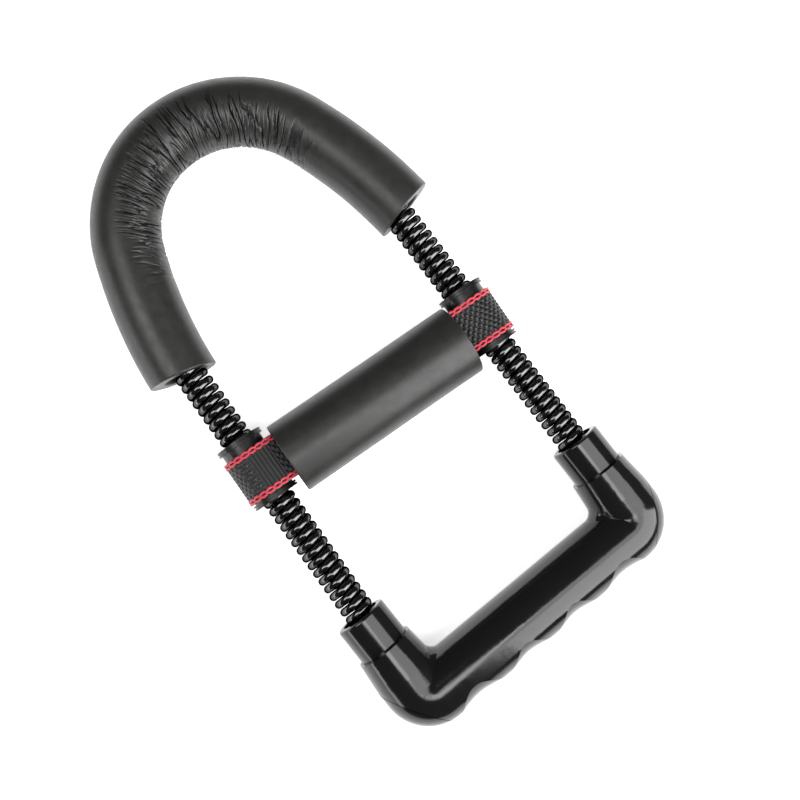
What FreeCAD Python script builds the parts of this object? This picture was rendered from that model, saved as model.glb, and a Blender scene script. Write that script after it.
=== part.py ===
import FreeCAD, Part
import math
import os

# Spring-bow wrist and forearm strengthener, lying flat. Millimetres.
# +X runs along the hand grip, +Y from the grip to the foam bow, +Z up.
# The drawing datum is where the two spring axes and the pad belong; TO_ORIGIN then
# puts the middle of the object's underside at 0, 0, 0.

Vec = FreeCAD.Vector
UP = Vec(0, 0, 1)
TO_ORIGIN = Vec(-0.59, -24.13, 0.0)

# Heights: every tube, spring and grip has its axis on one level.
PAD_RADIUS = 17.7
LEVEL = PAD_RADIUS

# Springs: nearly close-wound steel springs that carry the whole bow.
SPRING_RADIUS = 7.65
WIRE_RADIUS = 1.98
SPRING_PITCH = 4.33
SPRING_TOP_Y = 89.4
SPRING_BOTTOM_Y = -92.8
AXIS_X_AT_MOUTH = 61.5
AXIS_X_AT_COLLAR = 64.0
MOUTH_Y = 70.3
COLLAR_TOP_Y = -65.7
SPRING_FIT = 0.45

# The springs are soft sideways, so bow and handle sit turned a little from square to them,
# and the pad slants the other way between its spools.
BOW_LEAN = 1.5
BOW_LEAN_Y = 84.0
HANDLE_LEAN = 1.85
HANDLE_LEAN_Y = -80.0
PAD_SLANT = -1.9

# Bow: a bent steel tube inside a foam sleeve.
ARCH_CENTRE_Y = 110.0
ARCH_RADIUS = 54.0
ARCH_HALF_ANGLE = 68.0
FOAM_RADIUS = 16.0
FOAM_LEG_RADIUS = 220.0
MOUTH_CUT_ANGLE = 13.0
MOUTH_HOLE_RADIUS = 10.3
MOUTH_HOLE_DEPTH = 9.0
MOUTH_HOLE_INWARD = 1.3
TUBE_RADIUS = 9.9
TUBE_WALL = 1.2
TUBE_END_Y = 76.0
TUBE_END_ANGLE = 6.0
FOAM_ON_TUBE_GAP = 0.05
PLUG_HEAD_Y = 92.0
PLUG_HEAD_LENGTH = 9.0
PLUG_SHANK_RADIUS = SPRING_RADIUS - 2 * WIRE_RADIUS - SPRING_FIT
PLUG_SHANK_END_Y = 77.0
RIVET_RADIUS = 1.6
RIVET_HEAD_RADIUS = 3.0
RIVET_HEAD_HEIGHT = 0.9

# Sliding pad: two spools on the springs, one webbing loop round both, a foam sleeve on the loop.
PAD_Y = 12.3
PAD_LENGTH = 98.6
PAD_LOWER = 4.0
PAD_RIGHT = 0.7
SPOOL_X = 62.6
SPOOL_HEIGHT = 31.6
SPOOL_BORE_RADIUS = 9.0
BARREL_RADIUS = 10.2
FLANGE_RADIUS = 11.5
FLANGE_RING = 0.9
FLANGE_GROOVE = 0.5
FLANGE_GROOVE_DEPTH = 0.6
WEBBING_WIDTH = 22.4
WEBBING_THICKNESS = 1.25
WEBBING_LOWER = 1.6
WEBBING_PINCH_X = 25.0
WEBBING_PINCH_Z = 3.1
WEBBING_GAP = 0.05
STITCH_WIDTH = 2.2
STITCH_THICKNESS = 0.35
STITCH_FROM_EDGE = 1.5

# Handle: a hollow moulding with a socket at each end, two collars and two corner caps.
GROOVE_Y = -83.7
LEG_X = 64.8
HANDLE_RIGHT = 0.4
MOUTH_HALF_WIDTH = 14.0
MOUTH_HALF_DEPTH = 15.9
ELBOW_HALF_WIDTH = 15.5
GRIP_HALF_DEPTH = 16.5
ELBOW_TOP_Y = -99.0
CORNER_X = 56.8
CORNER_Y = -106.4
CORNER_OFFSET = 8.0
HANDLE_WALL = 3.0
CAP_WALL = 2.6
VALLEY_SPACING = 27.6
VALLEY_DEPTH = 1.9
VALLEY_AXIS_SHIFT = 6.0
CREST_TRIM = 0.12
INNER_FILLET = 5.7
FILLET_SINK = Vec(0.7, -0.15, 0)
SEAT_WALL_TOP_Y = -101.5
SEAT_WALL = 2.0
SEAT_HOLE_RADIUS = 6.0
SEAM_TOP_BELOW_GROOVE = 14.7
SEAM_BOTTOM_INWARD = 20.5
SEAM_GAP = 0.3
COLLAR_RADIUS = 12.5
COLLAR_BORE_RADIUS = 9.4
COLLAR_FLOOR_Y = -95.2
COLLAR_LIP = 1.2
COLLAR_FIT = 0.05
BOLT_RADIUS = 2.0
BOLT_HEAD_RADIUS = 3.5
BOLT_HEAD_LENGTH = 4.0
BOLT_HEX_RADIUS = 1.75
BOLT_HEX_DEPTH = 2.0
WASHER_RADIUS = 4.6
WASHER_THICKNESS = 1.0
HANDLE_PLUG_TOP_Y = -74.0
BOLT_TOP_Y = -80.0
PLUG_GAP = 0.3

BIG = 400.0


def at(x, y, z=LEVEL):
    """A point given on the level of the tube axes, unless z is stated."""
    return Vec(x, y, z)


def on_circle(centre, radius, degrees):
    """Point on a circle in the level plane; the angle runs from +X towards +Y."""
    turn = math.radians(degrees)
    return centre + Vec(radius * math.cos(turn), radius * math.sin(turn), 0)


def arc(centre, radius, start, end):
    """Arc in the level plane between two angles in degrees."""
    middle = 0.5 * (start + end)
    points = [on_circle(centre, radius, degrees) for degrees in (start, middle, end)]
    return Part.Arc(*points).toShape()


def mirrored(shape):
    """The same shape on the other side of the long middle plane."""
    return shape.mirror(Vec(0, 0, 0), Vec(1, 0, 0))


def rod(start, end, radius):
    """Round rod between two points."""
    along = end - start
    return Part.makeCylinder(radius, along.Length, start, along)


def slab_between(low_y, high_y):
    """Block that holds everything between two Y planes."""
    return Part.makeBox(2 * BIG, high_y - low_y, 2 * BIG, Vec(-BIG, low_y, -BIG))


def leaned(shape, degrees, pivot_y):
    """Turn a finished group about an upright line on the middle plane."""
    shape.rotate(Vec(0, pivot_y, 0), UP, degrees)
    return shape


def bow_leaned(shape):
    return leaned(shape, BOW_LEAN, BOW_LEAN_Y)


def handle_leaned(shape):
    shape.translate(Vec(HANDLE_RIGHT, 0, 0))
    return leaned(shape, HANDLE_LEAN, HANDLE_LEAN_Y)


def bow_y(side, y):
    """Where a level of the square bow comes on one spring once the bow leans."""
    return y + side * AXIS_X_AT_MOUTH * math.sin(math.radians(BOW_LEAN))


def handle_y(side, y):
    """Where a level of the square handle comes on one spring once the handle leans."""
    return y + side * AXIS_X_AT_COLLAR * math.sin(math.radians(HANDLE_LEAN))


# ---------------------------------------------------------------- springs

def spring_axis(side, y):
    """Point of a spring's axis at a given Y; side is -1 for left and 1 for right."""
    spread = (AXIS_X_AT_COLLAR - AXIS_X_AT_MOUTH) / (MOUTH_Y - COLLAR_TOP_Y)
    return at(side * (AXIS_X_AT_MOUTH + spread * (MOUTH_Y - y)), y)


def spring_rod(side, start_y, end_y, radius):
    """Round rod that shares a spring's axis."""
    return rod(spring_axis(side, start_y), spring_axis(side, end_y), radius)


def spring(side):
    """Right-handed helical spring with plain ends."""
    bottom = spring_axis(side, handle_y(side, SPRING_BOTTOM_Y))
    along = spring_axis(side, bow_y(side, SPRING_TOP_Y)) - bottom
    coil_radius = SPRING_RADIUS - WIRE_RADIUS
    helix = Part.makeHelix(SPRING_PITCH, along.Length, coil_radius)
    rise = Vec(0, 2 * math.pi * coil_radius, SPRING_PITCH)
    section = Part.Wire(Part.makeCircle(WIRE_RADIUS, Vec(coil_radius, 0, 0), rise))
    coil = Part.Wire(helix).makePipeShell([section], True, True)
    coil.Placement = FreeCAD.Placement(bottom, FreeCAD.Rotation(UP, along))
    return coil


# ---------------------------------------------------------------- bow

def arch_end():
    """Where the arch meets the right leg."""
    return on_circle(at(0, ARCH_CENTRE_Y), ARCH_RADIUS, 90 - ARCH_HALF_ANGLE)


def arch_edge():
    return arc(at(0, ARCH_CENTRE_Y), ARCH_RADIUS, 90 - ARCH_HALF_ANGLE, 90 + ARCH_HALF_ANGLE)


def leg_centre(radius):
    """Centre of a leg arc that leaves the arch without a kink."""
    return on_circle(arch_end(), -radius, 90 - ARCH_HALF_ANGLE)


def swept(edges, radius):
    """Round bar of one radius along a chain of edges."""
    path = Part.Wire(edges)
    start = path.OrderedEdges[0]
    first = start.FirstParameter
    section = Part.Wire(Part.makeCircle(radius, start.valueAt(first), start.tangentAt(first)))
    return path.makePipeShell([section], True, False)


def foam_path():
    """Arch and two long gentle legs, run on past the mouths so that they can be cut slanting."""
    centre = leg_centre(FOAM_LEG_RADIUS)
    past_mouth = MOUTH_Y - FOAM_RADIUS
    end = math.degrees(math.asin((past_mouth - centre.y) / FOAM_LEG_RADIUS))
    leg = arc(centre, FOAM_LEG_RADIUS, end, 90 - ARCH_HALF_ANGLE)
    return [leg, arch_edge(), mirrored(leg)]


def leg_point(radius, y):
    """Point of the right leg arc of one radius at a given Y."""
    centre = leg_centre(radius)
    rise = (y - centre.y) / radius
    return at(centre.x + radius * math.sqrt(1 - rise * rise), y)


def tube_leg_radius():
    """Radius of the leg arc whose end points at the middle of the spring's seat."""
    seat = spring_axis(1, 0.5 * (TUBE_END_Y + SPRING_TOP_Y))
    across = on_circle(Vec(0, 0, 0), 1, TUBE_END_ANGLE)
    turn = math.radians(90 - ARCH_HALF_ANGLE - TUBE_END_ANGLE)
    return (seat - arch_end()).dot(across) / (1 - math.cos(turn))


def tube_path():
    """Arch, leg arcs, and straight ends that line up with the middle of each spring's seat."""
    radius = tube_leg_radius()
    centre = leg_centre(radius)
    leg = arc(centre, radius, TUBE_END_ANGLE, 90 - ARCH_HALF_ANGLE)
    bend = on_circle(centre, radius, TUBE_END_ANGLE)
    run = (bend.y - TUBE_END_Y) / math.cos(math.radians(TUBE_END_ANGLE))
    end = on_circle(bend, run, TUBE_END_ANGLE - 90)
    straight = Part.LineSegment(end, bend).toShape()
    return [straight, leg, arch_edge(), mirrored(leg), mirrored(straight)]


def rivet(side):
    """Headed rivet straight through the tube and the plug's head."""
    middle = leg_point(tube_leg_radius(), PLUG_HEAD_Y + 0.5 * PLUG_HEAD_LENGTH)
    middle.x *= side
    reach = TUBE_RADIUS + RIVET_HEAD_HEIGHT
    shank = rod(middle - UP * reach, middle + UP * reach, RIVET_RADIUS)
    solids = [shank]
    for way in (-1, 1):
        seat = middle + UP * (way * (TUBE_RADIUS - 0.6))
        top = middle + UP * (way * reach)
        solids.append(rod(seat, top, RIVET_HEAD_RADIUS))
    return solids[0].multiFuse(solids[1:]).removeSplitter()


def bow_plug(side, bore):
    """Steel plug: a head that fills the tube, and a shank inside the spring's end."""
    head = bore.common(slab_between(PLUG_HEAD_Y, PLUG_HEAD_Y + PLUG_HEAD_LENGTH))
    half = Part.makeBox(BIG, 2 * BIG, 2 * BIG, Vec(0 if side > 0 else -BIG, -BIG, -BIG))
    head = bow_leaned(head.common(half))
    root_y = PLUG_HEAD_Y + 0.5 * PLUG_HEAD_LENGTH
    shank = spring_rod(side, bow_y(side, root_y), bow_y(side, PLUG_SHANK_END_Y), PLUG_SHANK_RADIUS)
    return head.fuse(shank).removeSplitter()


def bow():
    """The bent tube, its foam sleeve, and the plug and rivet at each end."""
    path = tube_path()
    bore = swept(path, TUBE_RADIUS - TUBE_WALL)
    tube = swept(path, TUBE_RADIUS).cut(bore)
    rivets = {side: rivet(side) for side in (-1, 1)}

    foam = swept(foam_path(), FOAM_RADIUS)
    mouth = leg_point(FOAM_LEG_RADIUS, MOUTH_Y)
    beyond = Part.makeBox(2 * BIG, BIG, 2 * BIG, Vec(mouth.x - BIG, MOUTH_Y - BIG, -BIG))
    beyond.rotate(mouth, UP, MOUTH_CUT_ANGLE)
    beyond = beyond.common(Part.makeBox(BIG, 2 * BIG, 2 * BIG, Vec(0, -BIG, -BIG)))
    hole_start = mouth + Vec(-MOUTH_HOLE_INWARD, 0, 0)
    up_leg = Vec(-math.sin(math.radians(TUBE_END_ANGLE)), math.cos(math.radians(TUBE_END_ANGLE)), 0)
    hole = rod(hole_start - up_leg * MOUTH_HOLE_RADIUS, hole_start + up_leg * MOUTH_HOLE_DEPTH,
               MOUTH_HOLE_RADIUS)
    sleeve = swept(path, TUBE_RADIUS + FOAM_ON_TUBE_GAP)
    removed = [sleeve, beyond, mirrored(beyond), hole, mirrored(hole), rivets[-1], rivets[1]]
    for piece in removed:
        foam = foam.cut(piece)

    tube = tube.cut(rivets[-1]).cut(rivets[1])
    nodes = {"bow_foam": bow_leaned(foam), "bow_tube": bow_leaned(tube)}
    for side, name in ((-1, "left"), (1, "right")):
        pin = bow_leaned(rivets[side])
        nodes["bow_rivet_" + name] = pin
        nodes["bow_plug_" + name] = bow_plug(side, bore).cut(pin)
    return nodes


# ---------------------------------------------------------------- pad

def spool():
    """One spool about the Z axis, centred: a barrel with a grooved double-ring flange at each end."""
    half = 0.5 * SPOOL_HEIGHT
    groove_radius = FLANGE_RADIUS - FLANGE_GROOVE_DEPTH
    first_ring = half - FLANGE_RING
    groove = first_ring - FLANGE_GROOVE
    second_ring = groove - FLANGE_RING
    upper = [
        (BARREL_RADIUS, second_ring),
        (FLANGE_RADIUS, second_ring),
        (FLANGE_RADIUS, groove),
        (groove_radius, groove),
        (groove_radius, first_ring),
        (FLANGE_RADIUS, first_ring),
        (FLANGE_RADIUS, half),
        (SPOOL_BORE_RADIUS, half),
    ]
    lower = [(radius, -height) for radius, height in reversed(upper)]
    outline = [Vec(radius, 0, height) for radius, height in upper + lower]
    face = Part.Face(Part.makePolygon(outline + outline[:1]))
    return face.revolve(Vec(0, 0, 0), UP, 360)


def tangent_point(pinch, centre, radius):
    """Where the line from a point left of a circle touches the top of that circle."""
    away = pinch - centre
    lean = math.acos(radius / away.Length)
    turn = math.atan2(away.z, away.x) - lean
    return centre + Vec(radius * math.cos(turn), 0, radius * math.sin(turn))


def strap_solid(growth, width, middle_y):
    """Loop outline round both spools, pinched in the middle, and extruded across the strap."""
    radius = BARREL_RADIUS + WEBBING_GAP + growth
    pinch = Vec(WEBBING_PINCH_X, 0, WEBBING_PINCH_Z + growth)
    centre = Vec(SPOOL_X, 0, 0)
    touch = tangent_point(pinch, centre, radius)
    far = centre + Vec(radius, 0, 0)

    def turned(point, side, height):
        return Vec(side * point.x, 0, height * point.z)

    edges = []
    for side in (1, -1):
        start, end = turned(pinch, side, side), turned(pinch, side, -side)
        on, off = turned(touch, side, side), turned(touch, side, -side)
        edges.append(Part.LineSegment(start, on))
        edges.append(Part.Arc(on, turned(far, side, 0), off))
        edges.append(Part.LineSegment(off, end))
        edges.append(Part.LineSegment(end, turned(pinch, -side, -side)))
    wire = Part.Wire([edge.toShape() for edge in edges])
    face = Part.Face(wire)
    face.translate(Vec(0, middle_y - 0.5 * width, 0))
    return face.extrude(Vec(0, width, 0))


def pad():
    """Spools, webbing loop, edge stitching and foam sleeve, square to each other, then slanted."""
    webbing_y = -WEBBING_LOWER
    webbing = strap_solid(WEBBING_THICKNESS, WEBBING_WIDTH, webbing_y)
    webbing = webbing.cut(strap_solid(0, WEBBING_WIDTH + 1, webbing_y))

    rows = []
    inset = 0.5 * WEBBING_WIDTH - STITCH_FROM_EDGE
    for way in (-1, 1):
        row = strap_solid(WEBBING_THICKNESS + STITCH_THICKNESS, STITCH_WIDTH, webbing_y + way * inset)
        cover = strap_solid(WEBBING_THICKNESS, 2 * STITCH_WIDTH, webbing_y + way * inset)
        rows.append(row.cut(cover))

    foam_end = Vec(0.5 * PAD_LENGTH, 0, 0)
    foam_middle = Vec(PAD_RIGHT, -PAD_LOWER, 0)
    foam = rod(foam_middle - foam_end, foam_middle + foam_end, PAD_RADIUS)
    slot_growth = WEBBING_THICKNESS + STITCH_THICKNESS + WEBBING_GAP
    foam = foam.cut(strap_solid(slot_growth, WEBBING_WIDTH + 2 * WEBBING_GAP, webbing_y))

    nodes = {"pad_webbing": webbing, "webbing_stitching": Part.makeCompound(rows), "pad_foam": foam}
    for side, name in ((-1, "left"), (1, "right")):
        piece = spool()
        piece.rotate(Vec(0, 0, 0), Vec(1, 0, 0), -90)
        piece.translate(Vec(side * SPOOL_X, 0, 0))
        nodes[name + "_spool"] = piece
    for piece in nodes.values():
        piece.translate(Vec(0, PAD_Y, LEVEL))
        leaned(piece, PAD_SLANT, PAD_Y)
    return nodes


# ---------------------------------------------------------------- handle

def oval(centre, first, second):
    """Closed curve round a centre with two half-axes given as vectors."""
    circle = Part.makeCircle(1.0)
    normal = first.cross(second).normalize()
    matrix = FreeCAD.Matrix(
        first.x, second.x, normal.x, centre.x,
        first.y, second.y, normal.y, centre.y,
        first.z, second.z, normal.z, centre.z,
        0, 0, 0, 1)
    return Part.Wire(circle.transformGeometry(matrix).Edges)


def corner_bend(half_width, half_depth):
    """Quarter bend about an upright line: carries the leg's section round to the grip's."""
    section = Part.Face(oval(Vec(CORNER_OFFSET, 0, 0), Vec(half_width, 0, 0), Vec(0, 0, half_depth)))
    outer_side = Part.makeBox(BIG, BIG, BIG, Vec(0, -0.5 * BIG, -0.5 * BIG))
    bend = section.common(outer_side).Faces[0].revolve(Vec(0, 0, 0), UP, -90)
    bend.translate(at(CORNER_X, CORNER_Y))
    return bend


def handle_form(inset):
    """Outside of the handle, made smaller all round by inset: two legs, two bends and the grip."""
    half_width = ELBOW_HALF_WIDTH - inset
    half_depth = GRIP_HALF_DEPTH - inset
    mouth_width = Vec(MOUTH_HALF_WIDTH - inset, 0, 0)
    mouth_depth = Vec(0, 0, MOUTH_HALF_DEPTH - inset)
    elbow_x = CORNER_X + CORNER_OFFSET
    mouth = oval(at(LEG_X, GROOVE_Y), mouth_width, mouth_depth)
    shoulder = oval(at(elbow_x, ELBOW_TOP_Y), Vec(half_width, 0, 0), Vec(0, 0, half_depth))
    foot = oval(at(elbow_x, CORNER_Y), Vec(half_width, 0, 0), Vec(0, 0, half_depth))
    leg = Part.makeLoft([mouth, shoulder], True, True)
    ankle = Part.makeLoft([shoulder, foot], True, True)
    right = [leg, ankle, corner_bend(half_width, half_depth)]
    left = [mirrored(piece) for piece in right]
    grip_centre = at(-CORNER_X, CORNER_Y - CORNER_OFFSET)
    grip_section = oval(grip_centre, Vec(0, half_width, 0), Vec(0, 0, half_depth))
    grip = Part.Face(grip_section).extrude(Vec(2 * CORNER_X, 0, 0))
    return grip.multiFuse(right + left)


def finger_rests():
    """Ring with a wavy inner side that presses four finger rests into the grip's far side."""
    axis_y = CORNER_Y - CORNER_OFFSET + VALLEY_AXIS_SHIFT
    crest = ELBOW_HALF_WIDTH + VALLEY_AXIS_SHIFT - CREST_TRIM
    valley = crest - VALLEY_DEPTH
    wave = [Vec(0.5 * VALLEY_SPACING * number, valley if number % 2 else crest, 0)
            for number in range(-4, 5)]
    wave = [wave[0] + Vec(-8, 3, 0)] + wave + [wave[-1] + Vec(8, 3, 0)]
    curve = Part.BSplineCurve()
    curve.interpolate(wave)
    outside = [Vec(wave[-1].x, 3 * crest, 0), Vec(wave[0].x, 3 * crest, 0)]
    rest = Part.makePolygon([wave[-1]] + outside + [wave[0]]).Edges
    face = Part.Face(Part.Wire([curve.toShape()] + rest))
    ring = face.revolve(Vec(0, 0, 0), Vec(1, 0, 0), 360)
    ring.translate(at(0, axis_y))
    return ring.common(Part.makeBox(BIG, BIG, 2 * BIG, Vec(-0.5 * BIG, axis_y - BIG, -BIG)))


def inner_fillets():
    """Fillets between the legs' and the grip's inner sides that fade out above and below."""
    elbow_x = CORNER_X + CORNER_OFFSET
    grip_y = CORNER_Y - CORNER_OFFSET
    sections = []
    for degrees in range(-60, 61, 15):
        rise = math.radians(degrees)
        half_width = ELBOW_HALF_WIDTH * math.cos(rise)
        radius = INNER_FILLET * math.cos(1.4 * rise)
        level = LEVEL + GRIP_HALF_DEPTH * math.sin(rise)
        corner = at(elbow_x - half_width, grip_y + half_width, level)
        centre = corner + Vec(-radius, radius, 0) + FILLET_SINK
        ends = [centre + Vec(radius, 0, 0), centre + Vec(0, -radius, 0)]
        middle = on_circle(centre, radius, -45)
        inside = corner + Vec(2.5, -2.5, 0)
        scoop = Part.Arc(ends[0], middle, ends[1]).toShape()
        sides = Part.makePolygon([ends[1], inside, ends[0]]).Edges
        sections.append(Part.Wire([scoop] + sides))
    web = Part.makeLoft(sections, True, False)
    return [web, mirrored(web)]


def cap_side(shift):
    """Everything outside the right seam plane, with the plane moved outwards by shift."""
    top = at(CORNER_X + CORNER_OFFSET + ELBOW_HALF_WIDTH, GROOVE_Y - SEAM_TOP_BELOW_GROOVE)
    bottom = at(top.x - SEAM_BOTTOM_INWARD, CORNER_Y - CORNER_OFFSET - ELBOW_HALF_WIDTH)
    along = top - bottom
    block = Part.makeBox(BIG, 2 * BIG, 2 * BIG, Vec(0, -BIG, -BIG))
    block.rotate(Vec(0, 0, 0), UP, math.degrees(math.atan2(along.y, along.x)) - 90)
    outward = Vec(along.y, -along.x, 0).normalize()
    block.translate(bottom + outward * shift)
    return block


def collar(side):
    """Cup that holds a spring's end: a rounded lip, a bore, and a floor with a bolt hole."""
    centre_x = side * LEG_X
    body = rod(at(centre_x, SEAT_WALL_TOP_Y), at(centre_x, COLLAR_TOP_Y), COLLAR_RADIUS)
    rim = [edge for edge in body.Edges if abs(edge.BoundBox.YMin - COLLAR_TOP_Y) < 0.01
           and abs(edge.BoundBox.YMax - COLLAR_TOP_Y) < 0.01]
    body = body.makeFillet(COLLAR_LIP, rim[:1])
    bore = rod(at(centre_x, COLLAR_FLOOR_Y), at(centre_x, COLLAR_TOP_Y + 1), COLLAR_BORE_RADIUS)
    return body.cut(bore)


def handle():
    """Hollow handle, collars, corner caps, and the plug, bolt and washer that hold each spring."""
    outside = handle_form(0).cut(finger_rests()).multiFuse(inner_fillets())
    shell = outside.cut(cap_side(0)).cut(mirrored(cap_side(0)))
    hollow = handle_form(HANDLE_WALL).common(slab_between(-BIG, SEAT_WALL_TOP_Y - SEAT_WALL))
    shell = shell.cut(hollow)

    nodes = {}
    for side, name in ((-1, "left"), (1, "right")):
        socket = rod(at(side * LEG_X, SEAT_WALL_TOP_Y), at(side * LEG_X, GROOVE_Y + 1),
                     COLLAR_RADIUS + COLLAR_FIT)
        way_through = rod(at(side * LEG_X, SEAT_WALL_TOP_Y - SEAT_WALL - 1), at(side * LEG_X, GROOVE_Y),
                          SEAT_HOLE_RADIUS)
        shell = shell.cut(socket).cut(way_through)

        region = cap_side(SEAM_GAP)
        cap = outside.common(region if side > 0 else mirrored(region))
        cap = cap.cut(handle_form(CAP_WALL))
        nodes[name + "_corner_cap"] = handle_leaned(cap)

        nodes[name + "_collar"] = handle_leaned(collar(side)).cut(
            leg_rod(side, SEAT_WALL_TOP_Y - 5, COLLAR_TOP_Y, BOLT_RADIUS + COLLAR_FIT))
        bolt_hole = leg_rod(side, SEAT_WALL_TOP_Y - 5, BOLT_TOP_Y, BOLT_RADIUS)
        plug = leg_rod(side, COLLAR_FLOOR_Y + PLUG_GAP, HANDLE_PLUG_TOP_Y, PLUG_SHANK_RADIUS)
        nodes["handle_plug_" + name] = plug.cut(bolt_hole)
        washer_top_y = SEAT_WALL_TOP_Y - PLUG_GAP
        washer = leg_rod(side, washer_top_y - WASHER_THICKNESS, washer_top_y, WASHER_RADIUS)
        nodes["handle_washer_" + name] = washer.cut(bolt_hole)
        nodes["handle_bolt_" + name] = handle_bolt(side, washer_top_y - WASHER_THICKNESS)
    nodes["handle_shell"] = handle_leaned(shell)
    return nodes


def leg_rod(side, start_y, end_y, radius):
    """Round rod on a spring's axis between two levels of the square handle."""
    return spring_rod(side, handle_y(side, start_y), handle_y(side, end_y), radius)


def handle_bolt(side, seat_y):
    """Socket-head bolt on a spring's axis, its head below the washer."""
    shank = leg_rod(side, seat_y, BOLT_TOP_Y, BOLT_RADIUS)
    head_end = seat_y - BOLT_HEAD_LENGTH
    head = leg_rod(side, head_end, seat_y, BOLT_HEAD_RADIUS)
    corners = [on_circle(Vec(0, 0, 0), BOLT_HEX_RADIUS, 60 * number) for number in range(7)]
    key = Part.Face(Part.makePolygon(corners)).extrude(UP * (BOLT_HEX_DEPTH + 1))
    foot = spring_axis(side, handle_y(side, head_end - 1))
    along = spring_axis(side, handle_y(side, seat_y)) - foot
    key.Placement = FreeCAD.Placement(foot, FreeCAD.Rotation(UP, along))
    return head.fuse(shank).cut(key).removeSplitter()


def main():
    os.makedirs("parts", exist_ok=True)
    nodes = {"left_spring": spring(-1), "right_spring": spring(1)}
    nodes.update(bow())
    nodes.update(pad())
    nodes.update(handle())
    for name, shape in sorted(nodes.items()):
        shape.translate(TO_ORIGIN)
        shape.exportStep("parts/" + name + ".step")
        solids = len(shape.Solids)
        print(f"{name}: {solids} solid(s), {shape.Volume:.0f} mm3, valid {shape.isValid()}")


main()
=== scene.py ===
"""Spring-bow wrist and forearm strengthener, lying flat on a pale studio floor."""
import math

import bmesh
import bpy
from mathutils import Matrix, Vector, noise


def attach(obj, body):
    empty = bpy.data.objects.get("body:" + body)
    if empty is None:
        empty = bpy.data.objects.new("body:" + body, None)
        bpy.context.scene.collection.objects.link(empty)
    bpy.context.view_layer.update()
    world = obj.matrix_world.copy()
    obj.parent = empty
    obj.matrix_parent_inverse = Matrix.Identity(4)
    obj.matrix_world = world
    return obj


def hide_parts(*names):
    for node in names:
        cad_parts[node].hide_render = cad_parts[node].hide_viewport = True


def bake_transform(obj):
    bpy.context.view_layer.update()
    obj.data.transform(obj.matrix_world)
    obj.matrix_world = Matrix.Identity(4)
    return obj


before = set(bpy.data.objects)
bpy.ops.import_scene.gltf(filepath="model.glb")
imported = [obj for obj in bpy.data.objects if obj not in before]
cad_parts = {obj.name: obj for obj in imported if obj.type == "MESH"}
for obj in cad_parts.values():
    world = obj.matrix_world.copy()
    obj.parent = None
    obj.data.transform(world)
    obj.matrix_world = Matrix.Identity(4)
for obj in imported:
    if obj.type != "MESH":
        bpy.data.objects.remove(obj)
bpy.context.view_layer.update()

# Shapes are worked out in millimetres from the drawing datum, which lies midway between the
# two spring axes; the part's own origin is SHIFT away from it.
MM = 0.001
SHIFT = Vector((-0.59, -24.13, 0.0))
LEVEL = 17.7

# Springs, and where each one bends
SPRING_RADIUS = 7.65
WIRE_RADIUS = 1.98
SPRING_PITCH = 4.33
SPRING_TOP_Y = 89.4
SPRING_BOTTOM_Y = -92.8
AXIS_X_AT_MOUTH = 61.5
AXIS_X_AT_COLLAR = 64.0
MOUTH_Y = 70.3
COLLAR_TOP_Y = -65.7
WIRE_STEPS_PER_TURN = 40
WIRE_COLUMNS = 14

# Leans in the plane, in degrees
BOW_LEAN = 1.5
BOW_LEAN_Y = 84.0
HANDLE_LEAN = 1.85
PAD_SLANT = -1.9

# Bow
ARCH_CENTRE_Y = 110.0
ARCH_RADIUS = 54.0
ARCH_HALF_ANGLE = 68.0
FOAM_RADIUS = 16.0
FOAM_LEG_RADIUS = 220.0
FOAM_LEG_LAST_ANGLE = -20         # beyond the mouth, so the leg bends all the way
FOAM_COLUMNS = 144
FOAM_ROWS = 1100
FOAM_ROW_CROWDING = 0.45          # share of the cubic term that crowds rows onto the creases
FOAM_RIM = 0.7
FOAM_RIM_STEPS = [0.0, 0.05, 0.14, 0.28, 0.46]
FOAM_RIM_ROUNDING = 0.6
FOAM_LUMP_HEIGHT = 0.12
FOAM_LUMP_LENGTH = 22.0
MOUTH_CUT_ANGLE = 13.0
MOUTH_HOLE_RADIUS = 10.3
MOUTH_HOLE_DEPTH = 9.0
MOUTH_HOLE_INWARD = 1.3
MOUTH_HOLE_ROUNDING = 0.35
TUBE_RADIUS = 9.9
TUBE_END_Y = 76.0
TUBE_END_ANGLE = 6.0
FOAM_ON_TUBE_GAP = 0.05
BORE_ROWS = 48

# Creases inside the arch: angles in degrees, round the foam or along the arch
CREASE_START = 46
CREASE_START_PER_ARC = 0.7
CREASE_START_SWING = 14
CREASE_FADE_IN = 30
CREASE_ARC_FULL = 58
CREASE_ARC_END = 96
CREASE_CROWDING = 0.058
CREASE_WANDER = 0.7
THIN_CREASE_PITCH = 1.15
THIN_CREASE_DEPTH = 0.5
THIN_CREASE_HALF = 0.24
DEEP_CREASE_PITCH = 3.1
DEEP_CREASE_DEPTH = 0.75
DEEP_CREASE_HALF = 0.14
CREASE_SWELL = 0.12
# Painted shade: the foam's colour darkens inside the creases, fully from this depth on.
FULL_SHADE_DEPTH = 0.4            # creases at least this deep are fully dark inside

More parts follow.
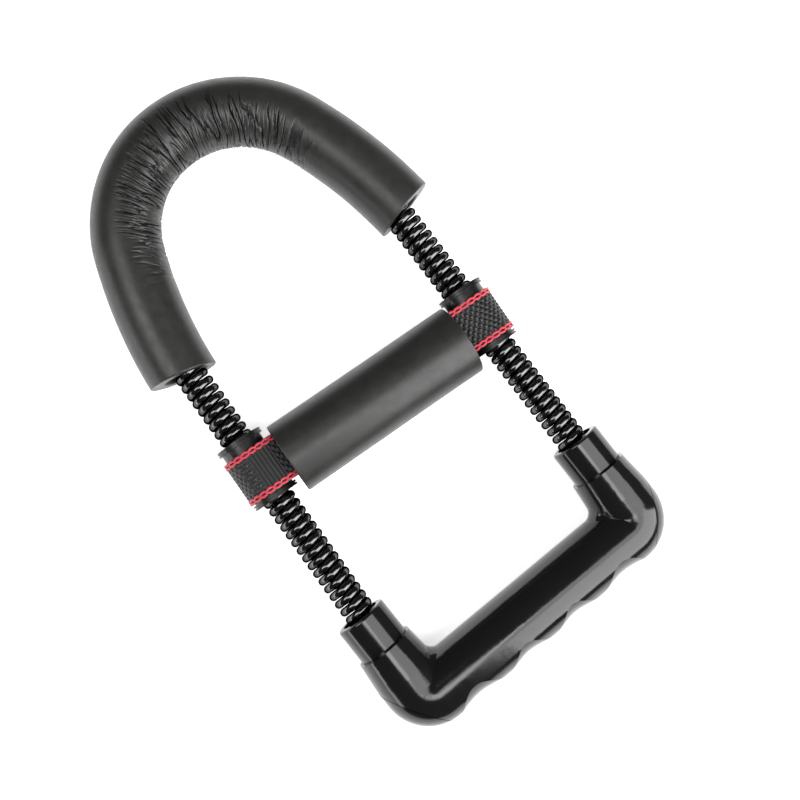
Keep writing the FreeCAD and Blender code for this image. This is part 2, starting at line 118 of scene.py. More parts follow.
# Pad, spools and webbing
PAD_Y = 12.3
PAD_RADIUS = 17.7
PAD_LENGTH = 98.6
PAD_LOWER = 4.0
PAD_RIGHT = 0.7
PAD_COLUMNS = 120
PAD_ROWS = 160
PAD_RIM = 0.6
PAD_RIM_STEPS = [0.0, 0.06, 0.16, 0.32, 0.5]
PAD_RIM_ROUNDING = 0.7
PAD_SKIN_INSET = 0.12
PAD_LUMP_HEIGHT = 0.1
PAD_LUMP_LENGTH = 26.0
SLOT_CORNER_POWER = 8             # a rounded rectangle
SPOOL_X = 62.6
BARREL_RADIUS = 10.2
WEBBING_WIDTH = 22.4
WEBBING_THICKNESS = 1.25
WEBBING_LOWER = 1.6
WEBBING_PINCH_X = 25.0
WEBBING_PINCH_Z = 3.1
WEBBING_GAP = 0.05
WEBBING_COLUMNS = 92
WEBBING_INNER_COLUMNS = 12
WEAVE_LENGTH = 3.0
WEAVE_WIDTH = 3.6
WEAVE_HEIGHT = 0.42
WEAVE_SUNK = 0.06
RIB_PITCH = 1.9
RIBS_HALF_WIDTH = 5.2
RIBS_FADE = 0.8
RIBS_INWARD = 4.6                 # the ribs sit a little inward of the left spool's middle
SELVEDGE = 0.9

# Chain stitch
STITCH_THICKNESS = 0.35
STITCH_FROM_EDGE = 1.5
LINK_LENGTH = 3.6
LINK_HALF_WIDTH = 0.8
LINK_PINCH = 0.16
ROW_PHASE = 0.6                   # one row runs a little ahead of the other
THREAD_HALF_WIDTH = 0.55
THREAD_HALF_HEIGHT = 0.42
THREAD_COLUMNS = 8

# A noise texture's values lie mostly between these
NOISE_LOW = 0.3
NOISE_HIGH = 0.7

# Camera, in metres and degrees
CAMERA_PLACE = (-0.04311, -0.02301, 0.4778)
CAMERA_SPIN = -37.0
CAMERA_TILT = (-0.078, -6.443, 0.506)
CAMERA_LENS = 44.48


# ---------------------------------------------------------------- meshes

def turned(point, degrees, pivot_y):
    """Point turned about an upright line on the middle plane."""
    turn = math.radians(degrees)
    across = point.x
    along = point.y - pivot_y
    return Vector((
        across * math.cos(turn) - along * math.sin(turn),
        across * math.sin(turn) + along * math.cos(turn) + pivot_y,
        point.z))


def new_piece(name, points, faces, material, sharp=None):
    """Mesh object from millimetre points, with outward faces and smooth shading."""
    data = bpy.data.meshes.new(name)
    data.from_pydata([(point + SHIFT) * MM for point in points], [], faces)
    shape = bmesh.new()
    shape.from_mesh(data)
    bmesh.ops.recalc_face_normals(shape, faces=shape.faces)
    shape.to_mesh(data)
    shape.free()
    data.polygons.foreach_set("use_smooth", [True] * len(data.polygons))
    if sharp is not None:
        data.set_sharp_from_angle(angle=math.radians(sharp))
    data.materials.append(material)
    piece = bpy.data.objects.new(name, data)
    bpy.context.scene.collection.objects.link(piece)
    return piece


def grid_faces(rows, columns, close_rows, first=0):
    """Quads of a grid whose columns always close on themselves."""
    faces = []
    for row in range(rows if close_rows else rows - 1):
        low = first + row * columns
        high = first + ((row + 1) % rows) * columns
        for column in range(columns):
            after = (column + 1) % columns
            faces.append((low + column, low + after, high + after, high + column))
    return faces


def flattened(rings):
    """All points of a list of rings, in order."""
    return [point for ring in rings for point in ring]


def tube_piece(rings, faces, points):
    """Adds a capped tube, given as rings of points, to a list of faces and points."""
    first = len(points)
    columns = len(rings[0])
    points.extend(flattened(rings))
    faces.extend(grid_faces(len(rings), columns, False, first))
    faces.append(tuple(range(first, first + columns)))
    faces.append(tuple(range(first + columns * (len(rings) - 1), first + columns * len(rings))))


# ---------------------------------------------------------------- materials

def material(name, colour, roughness, metallic=0.0):
    """Principled material with its shader, node list, links and an object-space mapping."""
    made = bpy.data.materials.new(name)
    made.use_nodes = True
    nodes, links = made.node_tree.nodes, made.node_tree.links
    shader = nodes["Principled BSDF"]
    shader.inputs["Base Color"].default_value = (*colour, 1.0)
    shader.inputs["Roughness"].default_value = roughness
    shader.inputs["Metallic"].default_value = metallic
    place = nodes.new("ShaderNodeTexCoord").outputs["Object"]
    return made, shader, nodes, links, place


def noise_at(nodes, links, place, size_mm, detail=3.0):
    """Noise texture whose features are about size_mm across."""
    texture = nodes.new("ShaderNodeTexNoise")
    texture.inputs["Scale"].default_value = 1.0 / (size_mm * MM)
    texture.inputs["Detail"].default_value = detail
    texture.inputs["Roughness"].default_value = 0.55
    links.new(place, texture.inputs["Vector"])
    return texture.outputs["Fac"]


def ramp_colour(nodes, links, factor, dark, light, socket):
    """Colour that varies between two tones with a texture."""
    ramp = nodes.new("ShaderNodeValToRGB")
    ramp.color_ramp.elements[0].position = NOISE_LOW
    ramp.color_ramp.elements[1].position = NOISE_HIGH
    ramp.color_ramp.elements[0].color = (*dark, 1.0)
    ramp.color_ramp.elements[1].color = (*light, 1.0)
    links.new(factor, ramp.inputs["Fac"])
    links.new(ramp.outputs["Color"], socket)


def ramp_value(nodes, links, factor, low, high, socket):
    """Number that varies between two values with a texture."""
    spread = nodes.new("ShaderNodeMapRange")
    spread.inputs["From Min"].default_value = NOISE_LOW
    spread.inputs["From Max"].default_value = NOISE_HIGH
    spread.inputs["To Min"].default_value = low
    spread.inputs["To Max"].default_value = high
    links.new(factor, spread.inputs["Value"])
    links.new(spread.outputs["Result"], socket)


def bump(nodes, links, shader, height, strength, distance_mm):
    """Bump from a height texture, stacked on any bump that is there already."""
    made = nodes.new("ShaderNodeBump")
    made.inputs["Strength"].default_value = strength
    made.inputs["Distance"].default_value = distance_mm * MM
    links.new(height, made.inputs["Height"])
    before = shader.inputs["Normal"].links
    if before:
        links.new(before[0].from_socket, made.inputs["Normal"])
    links.new(made.outputs["Normal"], shader.inputs["Normal"])


def foam_material():
    """Closed-cell foam: charcoal satin skin with a fine grain, and painted shade that darkens its
    creases.
    """
    made, shader, nodes, links, place = material("foam_skin", (0.018, 0.018, 0.017), 0.4)
    cloudy = noise_at(nodes, links, place, 9.0)
    # Painted shade: the creases' shade attribute mixes the colour towards near-black.
    shade = nodes.new("ShaderNodeAttribute")
    shade.attribute_name = "crease_painted_shade"
    mix = nodes.new("ShaderNodeMixRGB")
    links.new(shade.outputs["Fac"], mix.inputs["Fac"])
    ramp_colour(nodes, links, cloudy, (0.015, 0.0148, 0.0138), (0.021, 0.0208, 0.0195),
                mix.inputs["Color1"])
    mix.inputs["Color2"].default_value = (0.002, 0.002, 0.002, 1.0)
    links.new(mix.outputs["Color"], shader.inputs["Base Color"])
    ramp_value(nodes, links, noise_at(nodes, links, place, 4.0), 0.34, 0.44,
               shader.inputs["Roughness"])
    bump(nodes, links, shader, noise_at(nodes, links, place, 0.45, 2.0), 0.35, 0.06)
    bump(nodes, links, shader, noise_at(nodes, links, place, 2.2, 2.0), 0.25, 0.12)
    return made


def webbing_material():
    """Black polyester webbing: dull yarns with fine fibres across the weave's own relief."""
    made, shader, nodes, links, place = material("webbing_weave", (0.004, 0.004, 0.004), 0.42)
    fibre = noise_at(nodes, links, place, 0.35, 3.0)
    ramp_colour(nodes, links, fibre, (0.0015, 0.0015, 0.0015), (0.007, 0.007, 0.007),
                shader.inputs["Base Color"])
    bump(nodes, links, shader, fibre, 0.6, 0.08)
    return made


def thread_material():
    """Thick red polyester thread with a visible twist."""
    made, shader, nodes, links, place = material("red_thread", (0.62, 0.025, 0.05), 0.5)
    fibre = noise_at(nodes, links, place, 0.3, 2.0)
    ramp_colour(nodes, links, fibre, (0.42, 0.012, 0.03), (0.78, 0.05, 0.085),
                shader.inputs["Base Color"])
    shader.inputs["Sheen Weight"].default_value = 0.2
    bump(nodes, links, shader, fibre, 0.5, 0.08)
    return made


def painted_material():
    """Blackened, oiled spring steel: dark, with bright sharp highlights."""
    made, shader, nodes, links, place = material("spring_finish", (0.1, 0.1, 0.102), 0.13, 1.0)
    shader.inputs["Specular Tint"].default_value = (0.0, 0.0, 0.0, 1.0)
    ramp_value(nodes, links, noise_at(nodes, links, place, 3.0), 0.1, 0.17,
               shader.inputs["Roughness"])
    bump(nodes, links, shader, noise_at(nodes, links, place, 0.8), 0.15, 0.02)
    return made


def spool_material():
    """Satin black moulded plastic."""
    made, shader, nodes, links, place = material("spool_plastic", (0.007, 0.007, 0.007), 0.3)
    ramp_value(nodes, links, noise_at(nodes, links, place, 2.0), 0.26, 0.36,
               shader.inputs["Roughness"])
    bump(nodes, links, shader, noise_at(nodes, links, place, 0.4), 0.2, 0.04)
    return made


def handle_material():
    """Polished black plastic with faint handling marks."""
    made, shader, nodes, links, place = material("handle_plastic", (0.006, 0.006, 0.0065), 0.07)
    ramp_value(nodes, links, noise_at(nodes, links, place, 14.0, 5.0), 0.1, 0.17,
               shader.inputs["Roughness"])
    bump(nodes, links, shader, noise_at(nodes, links, place, 6.0, 2.0), 0.12, 0.05)
    bump(nodes, links, shader, noise_at(nodes, links, place, 0.5, 2.0), 0.05, 0.01)
    return made


def steel_material(name, dark, light, low, high):
    """Steel with fine drawing lines."""
    made, shader, nodes, links, place = material(name, light, low, 1.0)
    streaks = noise_at(nodes, links, place, 1.5, 4.0)
    ramp_colour(nodes, links, streaks, dark, light, shader.inputs["Base Color"])
    ramp_value(nodes, links, streaks, low, high, shader.inputs["Roughness"])
    bump(nodes, links, shader, noise_at(nodes, links, place, 0.3), 0.15, 0.02)
    return made


def floor_material():
    """Seamless white paper."""
    made, shader, nodes, links, place = material("studio_paper", (0.9, 0.9, 0.9), 0.8)
    ramp_colour(nodes, links, noise_at(nodes, links, place, 60.0),
                (0.9, 0.9, 0.9), (0.92, 0.92, 0.92), shader.inputs["Base Color"])
    shader.inputs["Specular IOR Level"].default_value = 0.1
    shader.inputs["Emission Color"].default_value = (1.0, 1.0, 1.0, 1.0)
    shader.inputs["Emission Strength"].default_value = 0.7
    return made


FOAM = foam_material()
WEBBING = webbing_material()
THREAD = thread_material()
PAINT = painted_material()
SPOOL = spool_material()
HANDLE = handle_material()
BRIGHT_STEEL = steel_material("bright_steel", (0.45, 0.45, 0.46), (0.7, 0.7, 0.71), 0.22, 0.36)
DARK_STEEL = steel_material("dark_steel", (0.03, 0.03, 0.032), (0.07, 0.07, 0.072), 0.3, 0.45)


# ---------------------------------------------------------------- springs

def spring_axis(side, y):
    """Point of a spring's axis at a given Y; side is -1 for left and 1 for right."""
    spread = (AXIS_X_AT_COLLAR - AXIS_X_AT_MOUTH) / (MOUTH_Y - COLLAR_TOP_Y)
    return Vector((side * (AXIS_X_AT_MOUTH + spread * (MOUTH_Y - y)), y, LEVEL))


def spring_half(name, side, start, end, whole):
    """Helical wire between two distances along one spring."""
    bottom, along = whole
    across = Vector((along.y, -along.x, 0)).normalized()
    down = along.cross(across).normalized()
    if down.z > 0:
        down = -down
    coil_radius = SPRING_RADIUS - WIRE_RADIUS
    steps = max(2, round((end - start) / SPRING_PITCH * WIRE_STEPS_PER_TURN))
    climb = math.atan2(SPRING_PITCH, 2 * math.pi * coil_radius)
    rings = []
    for step in range(steps + 1):
        height = start + (end - start) * step / steps
        turn = 2 * math.pi * height / SPRING_PITCH
        out = across * math.cos(turn) + down * math.sin(turn)
        ahead = down * math.cos(turn) - across * math.sin(turn)
        up = along * math.cos(climb) - ahead * math.sin(climb)
        centre = bottom + along * height + out * coil_radius
        ring = []
        for number in range(WIRE_COLUMNS):
            angle = 2 * math.pi * number / WIRE_COLUMNS
            ring.append(centre + (out * math.cos(angle) + up * math.sin(angle)) * WIRE_RADIUS)
        rings.append(ring)
    points, faces = [], []
    tube_piece(rings, faces, points)
    return new_piece(name, points, faces, PAINT, sharp=60)


def springs():
    """Each spring as two wires that meet inside its spool."""
    for side, name in ((-1, "left"), (1, "right")):
        top_y = SPRING_TOP_Y + side * AXIS_X_AT_MOUTH * math.sin(math.radians(BOW_LEAN))
        low_y = SPRING_BOTTOM_Y + side * AXIS_X_AT_COLLAR * math.sin(math.radians(HANDLE_LEAN))
        bottom = spring_axis(side, low_y)
        reach = spring_axis(side, top_y) - bottom
        whole = (bottom, reach.normalized())
        middle = PAD_Y - low_y
        lower = spring_half(name + "_spring_lower", side, 0.0, middle, whole)
        upper = spring_half(name + "_spring_upper", side, middle, reach.length, whole)
        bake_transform(upper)
        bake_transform(lower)
        for piece in (upper, lower):
            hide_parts(name + "_spring")


# ---------------------------------------------------------------- bow foam

def arch_end():
    """Point where the arch meets the right leg."""
    turn = math.radians(90 - ARCH_HALF_ANGLE)
    return Vector((ARCH_RADIUS * math.cos(turn), ARCH_CENTRE_Y + ARCH_RADIUS * math.sin(turn), LEVEL))


def bow_line(distance, leg_radius, last_angle):
    """Centre point and outward direction at a distance from the arch's top, to the right if positive.

    The leg is an arc that stops turning at last_angle and then runs straight."""
    side = -1 if distance < 0 else 1
    run = abs(distance)
    arch_half = ARCH_RADIUS * math.radians(ARCH_HALF_ANGLE)
    if run <= arch_half:
        turn = math.radians(90) - run / ARCH_RADIUS
        outward = Vector((math.cos(turn), math.sin(turn), 0))
        point = Vector((0, ARCH_CENTRE_Y, LEVEL)) + outward * ARCH_RADIUS
    else:
        start = math.radians(90 - ARCH_HALF_ANGLE)
        first = Vector((math.cos(start), math.sin(start), 0))
        centre = arch_end() - first * leg_radius
        turn = start - (run - arch_half) / leg_radius
        straight = max(0.0, math.radians(last_angle) - turn) * leg_radius
        turn = max(turn, math.radians(last_angle))
        outward = Vector((math.cos(turn), math.sin(turn), 0))
        point = centre + outward * leg_radius + Vector((outward.y, -outward.x, 0)) * straight
    return Vector((side * point.x, point.y, point.z)), Vector((side * outward.x, outward.y, 0))


def around(centre, outward, radius, angle):
    """Point on a ring: angle 0 is outward in the level plane and a quarter turn is up."""
    return centre + outward * (radius * math.cos(angle)) + Vector((0, 0, radius * math.sin(angle)))


def smooth(low, high, value):
    """0 below low, 1 above high, and a smooth step between."""
    share = min(1.0, max(0.0, (value - low) / (high - low)))
    return share * share * (3 - 2 * share)


def wrinkle(distance, angle):
    """Height of the foam's creases, which crowd the inside of the arch and run across it."""
    inner = math.degrees(math.acos(max(-1.0, min(1.0, math.cos(angle)))))
    arc_angle = abs(math.degrees(distance / ARCH_RADIUS))
    swing = CREASE_START_SWING * noise.noise(Vector((distance / 6.0, 0.3, 5.1)))
    start = CREASE_START + CREASE_START_PER_ARC * arc_angle + swing
    strength = smooth(start, start + CREASE_FADE_IN, inner)
    strength *= 1 - smooth(CREASE_ARC_FULL, CREASE_ARC_END, arc_angle)
    if strength <= 0:
        return 0.0
    round_mm = math.radians(inner) * FOAM_RADIUS
    along = distance * (1 + CREASE_CROWDING * math.cos(angle))
    wandered = along + CREASE_WANDER * noise.noise(Vector((along / 9.0, round_mm / 9.0, 2.0)))
    thin = noise.noise(Vector((wandered / THIN_CREASE_PITCH, round_mm / 14.0, 9.37)))
    deep = noise.noise(Vector((wandered / DEEP_CREASE_PITCH, round_mm / 20.0, 4.41)))
    uneven = 0.6 + 0.8 * noise.noise(Vector((along / 1.6, round_mm / 6.0, 7.7)))
    thin_groove = THIN_CREASE_DEPTH * uneven * (1 - smooth(0.0, THIN_CREASE_HALF, abs(thin)))
    deep_groove = DEEP_CREASE_DEPTH * (1 - smooth(0.0, DEEP_CREASE_HALF, abs(deep)))
    return strength * (CREASE_SWELL - thin_groove - deep_groove)


def mouth_point():
    """Centre of the right mouth on the foam's centre line."""
    first = math.radians(90 - ARCH_HALF_ANGLE)
    centre = arch_end() - Vector((math.cos(first), math.sin(first), 0)) * FOAM_LEG_RADIUS
    rise = (MOUTH_Y - centre.y) / FOAM_LEG_RADIUS
    return Vector((centre.x + FOAM_LEG_RADIUS * math.sqrt(1 - rise * rise), MOUTH_Y, LEVEL))


def foam_reach(angle, mouth, normal):
    """Distance from the arch's top at which one line of the foam's outside meets the mouth's cut."""
    low, high = 60.0, 190.0
    for _ in range(40):
        middle = 0.5 * (low + high)
        centre, outward = bow_line(middle, FOAM_LEG_RADIUS, FOAM_LEG_LAST_ANGLE)
        if (around(centre, outward, FOAM_RADIUS, angle) - mouth).dot(normal) > 0:
            low = middle
        else:
            high = middle
    return low


def tube_leg_radius():
    """Leg radius whose straight end lines up with the middle of the spring's seat."""
    seat = spring_axis(1, 0.5 * (TUBE_END_Y + SPRING_TOP_Y))
    end = math.radians(TUBE_END_ANGLE)
    across = Vector((math.cos(end), math.sin(end), 0))
    turn = math.radians(90 - ARCH_HALF_ANGLE - TUBE_END_ANGLE)
    return (seat - arch_end()).dot(across) / (1 - math.cos(turn))


def mirrored(ring):
    """Ring on the other side of the middle plane."""
    return [Vector((-point.x, point.y, point.z)) for point in ring]


def bow_foam():
    """Foam sleeve: creased outside, slanting ends with a rounded hole, and the bore on the tube."""
    angles = [2 * math.pi * number / FOAM_COLUMNS for number in range(FOAM_COLUMNS)]
    mouth = mouth_point()
    cut = math.radians(MOUTH_CUT_ANGLE)
    normal = Vector((-math.sin(cut), math.cos(cut), 0))
    reaches = [foam_reach(angle, mouth, normal) for angle in angles]

    rim = FOAM_RIM
    even = [-1 + 2 * row / FOAM_ROWS for row in range(FOAM_ROWS + 1)]
    body = [(1 - FOAM_ROW_CROWDING) * share + FOAM_ROW_CROWDING * share ** 3 for share in even]
    left_rim = [(-1.0, step) for step in FOAM_RIM_STEPS]
    right_rim = [(1.0, step) for step in FOAM_RIM_STEPS[::-1]]
    outside = []
    painted_crease_shade = []
    for share, step in left_rim + [(share, rim) for share in body] + right_rim:
        ring = []
        for angle, reach in zip(angles, reaches):
            distance = share * (reach - step)
            centre, outward = bow_line(distance, FOAM_LEG_RADIUS, FOAM_LEG_LAST_ANGLE)
            from_end = min(rim, reach - abs(distance))
            rounding = rim - math.sqrt(max(0.0, rim * rim - (rim - from_end) ** 2))
            spot = Vector((distance / FOAM_LUMP_LENGTH, math.cos(angle), math.sin(angle)))
            lumps = FOAM_LUMP_HEIGHT * noise.noise(spot)
            crease = wrinkle(distance, angle)
            # Share of painted shade at this point: deeper creases are painted darker.
            painted_crease_shade.append(min(1.0, max(0.0, -crease) / FULL_SHADE_DEPTH))
            radius = FOAM_RADIUS - rounding * FOAM_RIM_ROUNDING + crease + lumps
            ring.append(around(centre, outward, radius, angle))
        outside.append(ring)

    lean = math.radians(TUBE_END_ANGLE)
    up_leg = Vector((-math.sin(lean), math.cos(lean), 0))
    side_way = Vector((math.cos(lean), math.sin(lean), 0))
    hole_start = mouth + Vector((-MOUTH_HOLE_INWARD, 0, 0))

    def hole_ring(radius, depth=None):
        """Ring of the mouth's hole, on the slanting cut or at a depth above the mouth."""
        ring = []
        for angle in angles:
            point = around(hole_start, side_way, radius, angle)
            to_cut = -(point - mouth).dot(normal) / up_leg.dot(normal)
            ring.append(point + up_leg * (to_cut if depth is None else depth))
        return ring

    edge = hole_ring(MOUTH_HOLE_RADIUS + MOUTH_HOLE_ROUNDING)
    face = []
    for share in (0.15, 0.4, 0.65, 0.88):
        face.append([a.lerp(b, share) for a, b in zip(outside[-1], edge)])
    inside = face + [edge]
    start = hole_ring(MOUTH_HOLE_RADIUS)
    end = hole_ring(MOUTH_HOLE_RADIUS, MOUTH_HOLE_DEPTH)
    inside.append([point + up_leg * MOUTH_HOLE_ROUNDING for point in start])
    for share in (0.35, 0.7, 1.0):
        inside.append([a.lerp(b, share) for a, b in zip(start, end)])

    leg_radius = tube_leg_radius()
    bore_radius = TUBE_RADIUS + FOAM_ON_TUBE_GAP
    floor_y = hole_start.y + MOUTH_HOLE_DEPTH * up_leg.y
    bore_reach = 60.0
    while bow_line(bore_reach, leg_radius, TUBE_END_ANGLE)[0].y > floor_y:
        bore_reach += 0.1
    bore = []
    for row in range(BORE_ROWS + 1):
        distance = bore_reach * (1 - 2 * row / BORE_ROWS)
        centre, outward = bow_line(distance, leg_radius, TUBE_END_ANGLE)
        bore.append([around(centre, outward, bore_radius, angle) for angle in angles])

    rings = outside + inside + bore + [mirrored(ring) for ring in inside[::-1]]
    points = [turned(point, BOW_LEAN, BOW_LEAN_Y) for point in flattened(rings)]
    faces = grid_faces(len(rings), FOAM_COLUMNS, True)
    piece = new_piece("arm_foam", points, faces, FOAM, sharp=50)
    # The creases' painted shade goes to the foam material as a point attribute.
    shade = piece.data.attributes.new("crease_painted_shade", "FLOAT", "POINT")
    shade.data.foreach_set("value", painted_crease_shade + [0.0] * (len(points) - len(painted_crease_shade)))
    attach(piece, "bow")
    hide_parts("bow_foam")


# ---------------------------------------------------------------- pad

def pad_place(point):
    """From the pad's own square frame to its slanting place on the springs."""
    moved = point + Vector((0, PAD_Y, LEVEL))
    return turned(moved, PAD_SLANT, PAD_Y)


def strap_profile(growth):
    """Corner points of the strap's loop: pinch and tangent point, and the wrap's radius."""
    radius = BARREL_RADIUS + WEBBING_GAP + growth
    pinch = Vector((WEBBING_PINCH_X, 0, WEBBING_PINCH_Z + growth))
    away = pinch - Vector((SPOOL_X, 0, 0))
    turn = math.atan2(away.z, away.x) - math.acos(radius / away.length)
    touch = Vector((SPOOL_X + radius * math.cos(turn), 0, radius * math.sin(turn)))
    return pinch, touch, radius, turn


def strap_half_height(x, growth):
    """Half the height of the strap's loop at a distance from the middle."""
    pinch, touch, _, _ = strap_profile(growth)
    if x <= pinch.x:
        return pinch.z
    return pinch.z + (touch.z - pinch.z) * (x - pinch.x) / (touch.x - pinch.x)


def strap_loop(fine, coarse):
    """Points and outward directions round the strap's middle line, and each point's distance.

    Steps are fine on the spools and coarse inside the foam."""
    pinch, touch, radius, turn = strap_profile(0.5 * WEBBING_THICKNESS)
    line = (touch - pinch).length
    slope = (touch - pinch).normalized()
    wrap = 2 * turn * radius
    quarter = [pinch.x, pinch.x + line, pinch.x + line + wrap, pinch.x + 2 * line + wrap]
    half = quarter[3] + pinch.x
    foam_edge = pinch.x + (0.5 * PAD_LENGTH - 3 - pinch.x) / slope.x

    def spot(run):
        """Point and outward direction of the right half of the loop."""
        if run < quarter[0]:
            return Vector((run, 0, pinch.z)), Vector((0, 0, 1))
        if run < quarter[1]:
            return pinch + slope * (run - quarter[0]), Vector((-slope.z, 0, slope.x))
        if run < quarter[2]:
            angle = turn - (run - quarter[1]) / radius
            out = Vector((math.cos(angle), 0, math.sin(angle)))
            return Vector((SPOOL_X, 0, 0)) + out * radius, out
        if run < quarter[3]:
            point, out = spot(quarter[3] + quarter[0] - run)
            return Vector((point.x, 0, -point.z)), Vector((out.x, 0, -out.z))
        return Vector((half - run, 0, -pinch.z)), Vector((0, 0, -1))

    runs = []
    run = 0.0
    while run < half - 1e-6:
        runs.append(run)
        run += fine if foam_edge < run < half - foam_edge else coarse
    result = []
    for run in runs:
        point, out = spot(run)
        result.append((point, out, run))
    for run in runs:
        point, out = spot(run)
        result.append((Vector((-point.x, 0, -point.z)), Vector((-out.x, 0, -out.z)), half + run))
    return result, 2 * half


def weave(run, across, middle):
    """Relief of the webbing: a diamond weave, and a band of ribs in the middle of the left wrap."""
    slant = math.pi * run / WEAVE_LENGTH
    turn = math.pi * across / WEAVE_WIDTH
    diamond = smooth(0.3, 0.85, abs(math.sin(slant + turn) * math.sin(slant - turn)))
    rib = smooth(0.15, 0.75, abs(math.sin(math.pi * run / RIB_PITCH)))
    share = 1 - smooth(RIBS_HALF_WIDTH, RIBS_HALF_WIDTH + RIBS_FADE, abs(run - middle))
    edge = 1 - smooth(0.5 * WEBBING_WIDTH - SELVEDGE, 0.5 * WEBBING_WIDTH, abs(across))
    return WEAVE_HEIGHT * edge * (diamond * (1 - share) + rib * share)


def pad_webbing():
    """One loop of webbing round both spools, with the weave's relief on its outer face."""
    loop, length = strap_loop(0.24, 1.5)
    ribs_x = RIBS_INWARD - SPOOL_X
    upper = [(abs(point.x - ribs_x), run) for point, out, run in loop if point.z > 0]
    left_middle = min(upper)[1]
    half_thick = 0.5 * WEBBING_THICKNESS
    rings = []
    for point, out, run in loop:
        outer, inner = [], []
        for column in range(WEBBING_COLUMNS + 1):
            across = WEBBING_WIDTH * (column / WEBBING_COLUMNS - 0.5)
            raised = half_thick - WEAVE_SUNK + weave(run, across, left_middle)
            outer.append(point + out * raised + Vector((0, across - WEBBING_LOWER, 0)))
        for column in range(WEBBING_INNER_COLUMNS):
            across = WEBBING_WIDTH * (0.5 - column / (WEBBING_INNER_COLUMNS - 1))
            inner.append(point - out * half_thick + Vector((0, across - WEBBING_LOWER, 0)))
        rings.append(outer + inner)
    points = [pad_place(point) for point in flattened(rings)]
    faces = grid_faces(len(rings), len(rings[0]), True)
    piece = new_piece("pad_strap", points, faces, WEBBING, sharp=70)
    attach(piece, "pad")
    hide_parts("pad_webbing")
    return piece, length


def pad_stitching():
    """Two rows of chain stitch along the strap's edges, each link made by two strands."""
    loop, length = strap_loop(0.3, 0.6)
    links = round(length / LINK_LENGTH)
    points, faces = [], []
    inset = 0.5 * WEBBING_WIDTH - STITCH_FROM_EDGE
    for row in (-1, 1):
        for strand in (-1, 1):
            rings = []
            for point, out, run in loop:
                phase = math.pi * run * links / length + (ROW_PHASE if row > 0 else 0.0)
                swing = abs(math.sin(phase))
                offset = strand * (LINK_PINCH + LINK_HALF_WIDTH * swing ** 0.6)
                rise = 0.5 * WEBBING_THICKNESS + 0.2 + 0.12 * swing
                centre = point + out * rise + Vector((0, row * inset + offset - WEBBING_LOWER, 0))
                ring = []
                for number in range(THREAD_COLUMNS):
                    angle = 2 * math.pi * number / THREAD_COLUMNS
                    beside = Vector((0, THREAD_HALF_WIDTH * math.cos(angle), 0))
                    ring.append(centre + beside + out * (THREAD_HALF_HEIGHT * math.sin(angle)))
                rings.append(ring)
            first = len(points)
            points.extend(flattened(rings))
            faces.extend(grid_faces(len(rings), THREAD_COLUMNS, True, first))
    piece = new_piece("red_chain_stitch", [pad_place(point) for point in points], faces, THREAD)
    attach(piece, "pad")
    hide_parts("webbing_stitching")
    return piece


def pad_foam():
    """Foam sleeve with clean-cut ends and a slot for the strap."""
    angles = [2 * math.pi * number / PAD_COLUMNS for number in range(PAD_COLUMNS)]
    half = 0.5 * PAD_LENGTH
    rim = PAD_RIM
    xs = [-half + step for step in PAD_RIM_STEPS]
    xs += [(half - rim) * (-1 + 2 * row / PAD_ROWS) for row in range(PAD_ROWS + 1)]
    xs += [half - step for step in PAD_RIM_STEPS[::-1]]
    outside = []
    for x in xs:
        from_end = min(rim, half - abs(x))
        rounding = rim - math.sqrt(max(0.0, rim * rim - (rim - from_end) ** 2))
        ring = []
        for angle in angles:
            c, s = math.cos(angle), math.sin(angle)
            lumps = noise.noise(Vector((x / PAD_LUMP_LENGTH, 1.3 * c, 1.3 * s + 7)))
            radius = PAD_RADIUS - PAD_SKIN_INSET - rounding * PAD_RIM_ROUNDING
            radius += PAD_LUMP_HEIGHT * lumps
            ring.append(Vector((x + PAD_RIGHT, radius * c - PAD_LOWER, radius * s)))
        outside.append(ring)
    growth = WEBBING_THICKNESS + STITCH_THICKNESS + WEBBING_GAP

    def slot_ring(x):
        """Ring of the strap's slot at a distance from the pad's middle."""
        width = 0.5 * WEBBING_WIDTH + WEBBING_GAP
        height = strap_half_height(abs(x), growth)
        ring = []
        for angle in angles:
            c, s = math.cos(angle), math.sin(angle)
            power = SLOT_CORNER_POWER
            size = (abs(c / width) ** power + abs(s / height) ** power) ** (-1 / power)
            ring.append(Vector((x, size * c - WEBBING_LOWER, size * s)))
        return ring

    right, left = PAD_RIGHT + half, PAD_RIGHT - half
    right_face = [[a.lerp(b, share) for a, b in zip(outside[-1], slot_ring(right))]
                  for share in (0.12, 0.4, 0.7, 0.94)]
    left_face = [[a.lerp(b, share) for a, b in zip(outside[0], slot_ring(left))]
                 for share in (0.94, 0.7, 0.4, 0.12)]
    slot = [slot_ring(x) for x in (right, right - 1, 42, 34, WEBBING_PINCH_X, 12, 0, -12,
                                   -WEBBING_PINCH_X, -34, -42, left + 1, left)]
    rings = outside + right_face + slot + left_face
    points = [pad_place(point) for point in flattened(rings)]
    faces = grid_faces(len(rings), PAD_COLUMNS, True)
    piece = new_piece("pad_sleeve", points, faces, FOAM, sharp=50)
    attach(piece, "pad")
    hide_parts("pad_foam")


# ---------------------------------------------------------------- carried-over nodes

def dress_nodes():
    """Finish of every piece that keeps its own shape."""
    finishes = {
        "bow_tube": BRIGHT_STEEL,
        "bow_plug": DARK_STEEL,
        "bow_rivet": BRIGHT_STEEL,
        "spool": SPOOL,
        "handle_shell": HANDLE,
        "collar": HANDLE,
        "corner_cap": HANDLE,
        "handle_plug": DARK_STEEL,
        "handle_washer": BRIGHT_STEEL,
        "handle_bolt": DARK_STEEL,
    }
    for name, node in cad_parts.items():
        for part, finish in finishes.items():
            if part in name:
                node.data.materials.clear()
                node.data.materials.append(finish)


# ---------------------------------------------------------------- studio

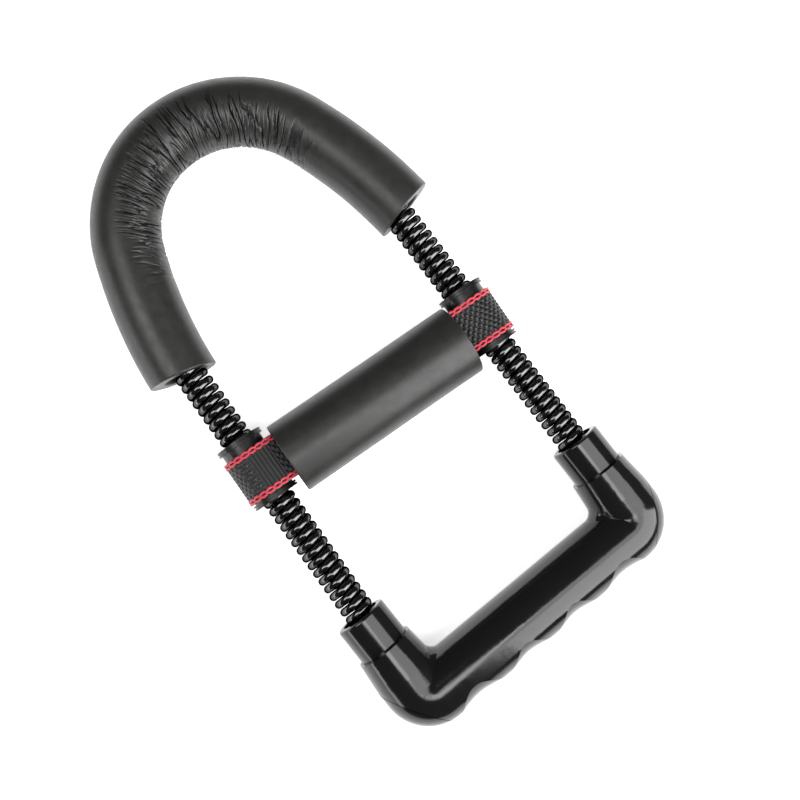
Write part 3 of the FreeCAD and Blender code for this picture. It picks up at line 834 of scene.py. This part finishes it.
def softbox(name, place, target, width, height, radiance, spin=0.0):
    """Rectangular soft light of a given brightness that faces a target."""
    light = bpy.data.lights.new(name, "AREA")
    light.shape = "RECTANGLE"
    light.size = width
    light.size_y = height
    light.energy = radiance * math.pi * width * height
    lamp = bpy.data.objects.new(name, light)
    place, target = Vector(place), Vector(target)
    facing = (target - place).to_track_quat("-Z", "Y").to_matrix().to_4x4()
    spun = Matrix.Rotation(math.radians(spin), 4, "Z")
    lamp.matrix_world = Matrix.Translation(place) @ facing @ spun
    bpy.context.scene.collection.objects.link(lamp)


def studio():
    """White paper, soft boxes and a dim surround."""
    data = bpy.data.meshes.new("studio_floor")
    reach = 6.0
    corners = [(-reach, -reach, 0), (reach, -reach, 0), (reach, reach, 0), (-reach, reach, 0)]
    data.from_pydata(corners, [], [(0, 1, 2, 3)])
    data.materials.append(floor_material())
    floor = bpy.data.objects.new("studio_floor", data)
    floor.location.z = -0.0002
    bpy.context.scene.collection.objects.link(floor)

    softbox("top_strip", (0.4, -0.29, 1.0), (0.4, -0.29, 0.0), 1.2, 0.27, 4.0)
    softbox("wedge_box", (-0.1, -0.19, 1.02), (-0.1, -0.19, 0.0), 0.27, 0.27, 4.0, spin=45)
    softbox("front_panel", (0.42, -0.5, 0.7), (0.42, -0.1, 0.7), 0.82, 1.1, 6.0)
    softbox("left_bank", (-0.5, 0.3, 1.0), (0.0, 0.0, 0.0), 0.5, 0.6, 5.0)
    softbox("left_low", (-0.8, 0.1, 0.1), (0.0, 0.1, 0.05), 1.0, 0.14, 4.0)

    world = bpy.data.worlds.new("studio_air")
    world.use_nodes = True
    surround = world.node_tree.nodes["Background"]
    surround.inputs["Color"].default_value = (1.0, 1.0, 1.0, 1.0)
    surround.inputs["Strength"].default_value = 0.08
    bpy.context.scene.world = world
    bpy.context.scene.view_settings.view_transform = "Standard"


def camera():
    """Looks straight down, a little from the left, turned so that the bow lies to the upper left."""
    data = bpy.data.cameras.new("photo_camera")
    data.sensor_fit = "HORIZONTAL"
    data.sensor_width = 36.0
    data.lens = CAMERA_LENS
    data.clip_start = 0.01
    data.clip_end = 50.0
    about_x, about_y, about_z = CAMERA_TILT
    turn = (Matrix.Rotation(math.radians(about_z), 4, "Z")
            @ Matrix.Rotation(math.radians(about_y), 4, "Y")
            @ Matrix.Rotation(math.radians(about_x), 4, "X")
            @ Matrix.Rotation(math.radians(CAMERA_SPIN), 4, "Z"))
    eye = bpy.data.objects.new("photo_camera", data)
    eye.matrix_world = Matrix.Translation(CAMERA_PLACE) @ turn
    bpy.context.scene.collection.objects.link(eye)
    bpy.context.scene.camera = eye


camera()
studio()
dress_nodes()
springs()
bow_foam()
pad_foam()
strap, strap_length = pad_webbing()
stitches = pad_stitching()
